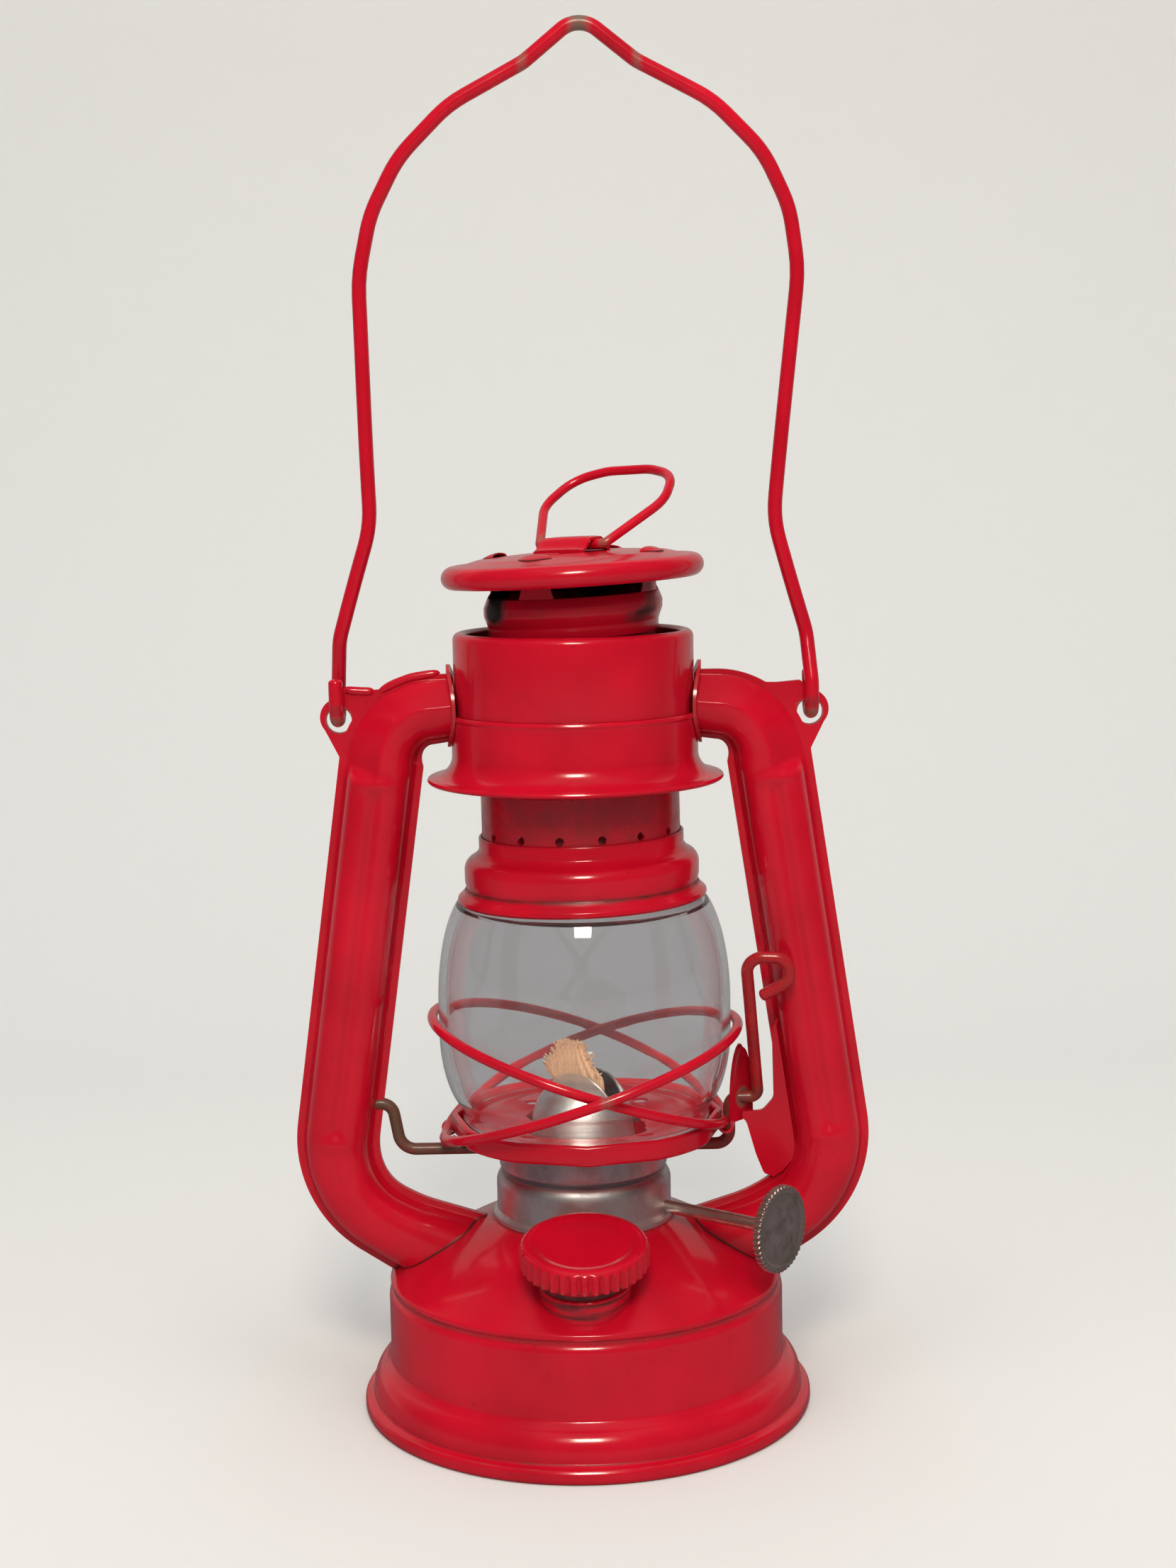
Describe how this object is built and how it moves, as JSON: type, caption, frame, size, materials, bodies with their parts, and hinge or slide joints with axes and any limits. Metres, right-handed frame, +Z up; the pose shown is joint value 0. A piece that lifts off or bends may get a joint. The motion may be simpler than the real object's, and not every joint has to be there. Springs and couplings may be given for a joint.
{
  "type": "hurricane lantern",
  "caption": "Red enamelled hurricane lantern with side air tubes, glass globe in a wire guard, lift crank, sliding chimney and hood, flat-wick burner, filler cap and wire bail.",
  "frame": {"origin": "centre of the foot, on the ground", "axes": "+Z up; -Y to the front, where the filler cap is; +X to the finger lever"},
  "size_m": [0.1494, 0.116, 0.3503],
  "materials": {
    "red_enamel": "gloss enamel",
    "bare_wire": "worn brown-red wire",
    "burner_metal": "satin plated",
    "inner_tin": "dull tin",
    "knob_metal": "dull grey-brown",
    "wick_cotton": "woven cotton",
    "clear_glass": "clear",
    "gasket": "matt"
  },
  "bodies": {
    "frame": {"tank_body": "red_enamel", "tank_bottom": "red_enamel", "tank_top": "red_enamel", "air_plate": "inner_tin", "filler_neck": "red_enamel", "burner_socket": "inner_tin", "burner_deck": "burner_metal", "burner_collar": "burner_metal", "burner_dome": "burner_metal", "wick_tube": "burner_metal", "left_tube_front": "red_enamel", "left_tube_rear": "red_enamel", "right_tube_front": "red_enamel", "right_tube_rear": "red_enamel", "left_tube_collar": "red_enamel", "right_tube_collar": "red_enamel", "sleeve_body": "red_enamel", "sleeve_skirt": "red_enamel", "sleeve_guide": "inner_tin", "canopy_spring": "inner_tin", "lever_bracket": "red_enamel"},
    "bail": {"bail": "red_enamel"},
    "crank": {"lift_crank": "bare_wire"},
    "globe_carriage": {"globe_plate": "red_enamel", "globe": "clear_glass", "guard_hoop_a": "red_enamel", "guard_hoop_b": "red_enamel", "hoop_clips": "red_enamel"},
    "canopy": {"chimney_tube": "red_enamel", "chimney_bell": "red_enamel", "chimney_head": "red_enamel", "hood": "red_enamel", "ring_strap": "red_enamel"},
    "ring": {"lift_ring": "red_enamel"},
    "wick_drive": {"wick_spindle": "knob_metal", "wick_wheels": "knob_metal", "wick_knob": "knob_metal"},
    "wick_strip": {"wick": "wick_cotton"},
    "cap_seal": {"cap_gasket": "gasket"},
    "cap": {"filler_cap": "red_enamel"}
  },
  "joints": [
    {"name": "bail_swing", "type": "hinge", "parent": "frame", "child": "bail", "pos_m": [0, 0, 0.1837], "axis": [1, 0, 0], "range_deg": [-130, 130]},
    {"name": "crank_turn", "type": "hinge", "parent": "frame", "child": "crank", "pos_m": [0, 0, 0.0793], "axis": [1, 0, 0], "range_deg": [0, 20.1]},
    {"name": "globe_lift", "type": "slide", "parent": "frame", "child": "globe_carriage", "axis": [0, 0, 1], "range_m": [0, 0.01], "deforming": ["canopy_spring"]},
    {"name": "canopy_pull", "type": "slide", "parent": "globe_carriage", "child": "canopy", "axis": [0, 0, 1], "range_m": [0, 0.012], "stiffness_N_per_m": 100, "springref_m": -0.02, "deforming": ["canopy_spring"]},
    {"name": "ring_fold", "type": "hinge", "parent": "canopy", "child": "ring", "pos_m": [0, 0, 0.22196], "axis": [0.8192, -0.5736, 0], "range_deg": [-33, 145]},
    {"name": "knob_turn", "type": "hinge", "parent": "frame", "child": "wick_drive", "pos_m": [0.00361, 0.00479, 0.0532], "axis": [0.7986, -0.6018, 0], "range_deg": [-50, 150]},
    {"name": "wick_feed", "type": "slide", "parent": "frame", "child": "wick_strip", "axis": [0, 0, 1], "range_m": [-0.012, 0.004]},
    {"name": "seal_lift", "type": "slide", "parent": "frame", "child": "cap_seal", "axis": [0, -0.1994, 0.9799], "range_m": [0, 0.00505]},
    {"name": "cap_turn", "type": "hinge", "parent": "cap_seal", "child": "cap", "pos_m": [0, -0.038, 0.04268], "axis": [0, -0.1994, 0.9799], "range_deg": [0, 900]}
  ],
  "couplings": [
    {"joint": "crank_turn", "follows": "globe_lift", "rad_per_m": 34.907},
    {"joint": "wick_feed", "follows": "knob_turn", "m_per_rad": -0.0045},
    {"joint": "seal_lift", "follows": "cap_turn", "m_per_rad": 0.00031831}
  ]
}
